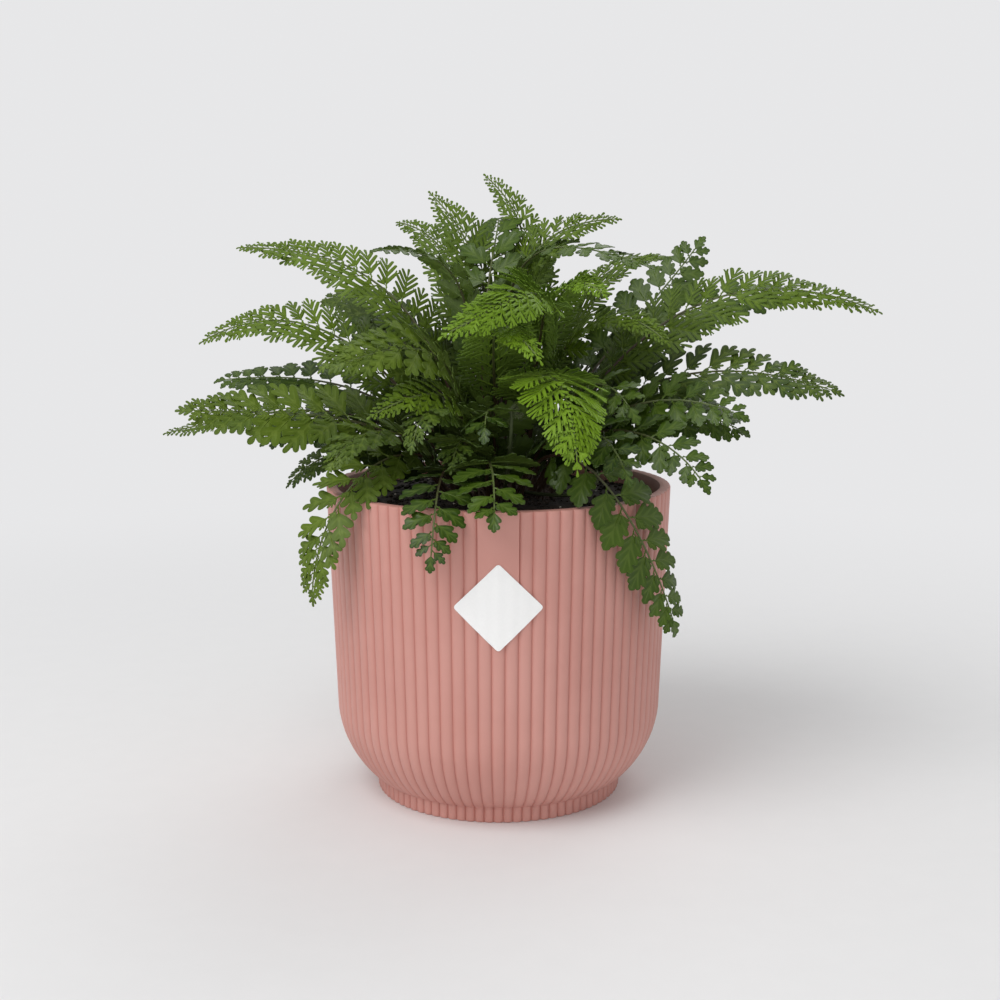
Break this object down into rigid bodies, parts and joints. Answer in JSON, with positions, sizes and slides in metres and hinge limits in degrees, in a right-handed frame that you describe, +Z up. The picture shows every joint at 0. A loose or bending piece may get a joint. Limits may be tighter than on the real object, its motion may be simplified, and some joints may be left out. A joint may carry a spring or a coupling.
{
  "type": "potted fern",
  "caption": "Small-leaved fern with arching, finely cut fronds that spread over the rim of a round, tapered pot with vertical ribs, a short foot and a blank diamond label.",
  "frame": {"origin": "middle of the flat underside of the pot", "axes": "+Z up along the pot's axis, -Y towards the front, where the label is, +X to the right seen from the front"},
  "size_m": [0.3864, 0.2845, 0.334],
  "materials": {
    "pot_plastic": "matte",
    "label_card": "satin",
    "soil": "matte",
    "crown": "matte",
    "leaf_fine": "satin",
    "leaf_cut": "satin",
    "leaf_broad": "gloss",
    "crozier": "satin"
  },
  "bodies": {
    "root": {"pot": "pot_plastic", "label": "label_card", "soil": "soil", "crown": "crown", "left_low_cut": "leaf_cut", "left_low_dark": "leaf_fine", "left_back_broad": "leaf_broad", "left_mid_fine": "leaf_fine", "left_high_fine": "leaf_fine", "left_deep_cut": "leaf_cut", "top_left_fine": "leaf_fine", "top_left_back": "leaf_fine", "top_fine": "leaf_fine", "top_right_fine": "leaf_fine", "top_right_broad": "leaf_broad", "top_left_broad": "leaf_broad", "front_arch_long": "leaf_fine", "front_left_cut": "leaf_cut", "front_left_fine": "leaf_fine", "front_dark_cut": "leaf_cut", "front_bright_fine": "leaf_fine", "front_arch_fine": "leaf_fine", "front_small_fine": "leaf_fine", "right_high_broad": "leaf_broad", "right_back_broad": "leaf_broad", "right_mid_fine": "leaf_fine", "right_low_cut": "leaf_cut", "right_front_broad": "leaf_broad", "right_droop_broad": "leaf_broad", "front_right_dark": "leaf_broad", "rim_right_broad": "leaf_broad", "rim_front_broad": "leaf_broad", "rim_front_dark": "leaf_broad", "rim_left_cut": "leaf_cut", "left_droop_dark": "leaf_cut", "inner_left_cut": "leaf_cut", "inner_left_broad": "leaf_broad", "low_left_broad": "leaf_broad", "low_front_cut": "leaf_cut", "inner_front_broad": "leaf_broad", "inner_front_cut": "leaf_cut", "inner_right_fine": "leaf_fine", "inner_right_broad": "leaf_broad", "low_right_broad": "leaf_broad", "inner_back_cut": "leaf_cut", "inner_back_fine": "leaf_fine", "back_left_low": "leaf_cut", "back_right_rim": "leaf_broad", "top_back_broad": "leaf_broad", "back_right_high": "leaf_fine", "back_right_mid": "leaf_cut", "back_right_low": "leaf_broad", "back_high": "leaf_broad", "back_low_cut": "leaf_cut", "back_mid_fine": "leaf_fine", "back_left_broad": "leaf_broad", "back_rim_broad": "leaf_broad", "back_rim_cut": "leaf_cut", "crozier_tall": "crozier", "crozier_low": "crozier"}
  },
  "joints": []
}
